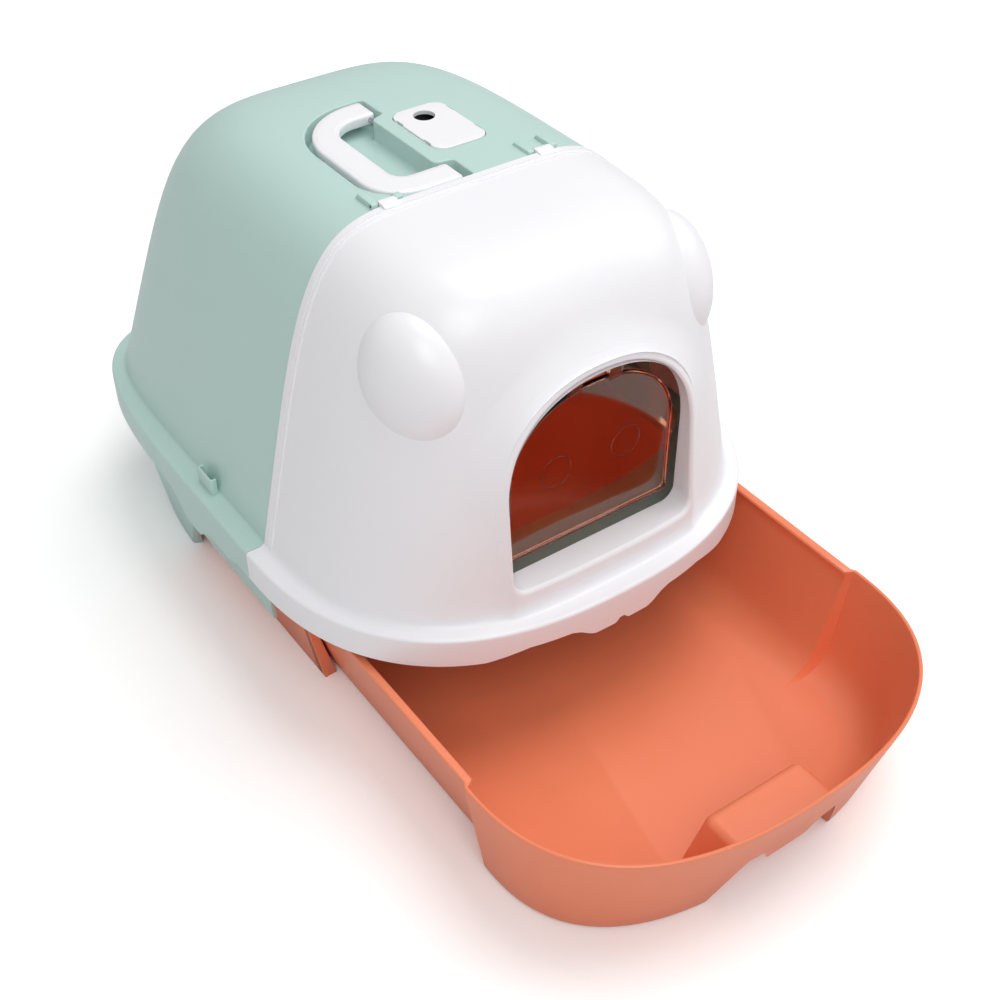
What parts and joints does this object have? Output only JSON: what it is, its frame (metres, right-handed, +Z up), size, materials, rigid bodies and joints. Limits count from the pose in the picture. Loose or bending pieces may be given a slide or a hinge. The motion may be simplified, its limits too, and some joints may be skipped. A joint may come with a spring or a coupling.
{
  "type": "drawer litter box",
  "caption": "Hooded litter box with a lift-up front hood, swinging entry flap, folding carry handle, lidded filter and a bow-fronted litter drawer that pulls out under the entry.",
  "frame": {"origin": "centre of the footprint of the whole box at rest, on the floor", "axes": "+Z up, -Y towards the entry and the drawer's front, +X to the right as seen from the front"},
  "size_m": [0.42, 0.753, 0.3943],
  "materials": {
    "mint_plastic": "satin moulded polypropylene",
    "white_plastic": "glossy moulded polypropylene",
    "coral_plastic": "glossy moulded polypropylene",
    "amber_plastic": "tinted clear plastic",
    "dark_plastic": "moulded grille",
    "charcoal_felt": "charcoal-filled felt",
    "steel_pin": "drawn wire"
  },
  "bodies": {
    "base": {"base_frame": "mint_plastic", "drawer_guide": "coral_plastic", "rear_hood": "mint_plastic", "handle_recess": "mint_plastic", "hinge_pins": "steel_pin", "handle_pins": "steel_pin", "deodoriser_basket": "dark_plastic", "charcoal_pack": "charcoal_felt", "side_clip_left": "mint_plastic", "side_clip_right": "mint_plastic"},
    "front_hood": {"front_hood": "white_plastic", "flap_rod": "steel_pin", "hinge_straps": "white_plastic"},
    "flap": {"entry_flap": "amber_plastic"},
    "handle": {"carry_handle": "white_plastic"},
    "lid": {"deodoriser_lid": "white_plastic"},
    "drawer": {"drawer": "coral_plastic"}
  },
  "joints": [
    {"name": "front_hood_hinge", "type": "hinge", "parent": "base", "child": "front_hood", "pos_m": [0, 0.034, 0.3919], "axis": [-1, 0, 0], "range_deg": [0, 90]},
    {"name": "flap_swing", "type": "hinge", "parent": "front_hood", "child": "flap", "pos_m": [0, -0.1205, 0.311], "axis": [1, 0, 0], "range_deg": [-70, 70]},
    {"name": "drawer_slide", "type": "slide", "parent": "base", "child": "drawer", "axis": [0, -1, 0], "range_m": [-0.226, 0.265]},
    {"name": "handle_fold", "type": "hinge", "parent": "base", "child": "handle", "pos_m": [-0.0055, 0.10765, 0.3869], "axis": [0, 1, 0], "range_deg": [0, 95]},
    {"name": "filter_lid_lift", "type": "slide", "parent": "base", "child": "lid", "axis": [0, 0, 1], "range_m": [0, 0.08]}
  ]
}
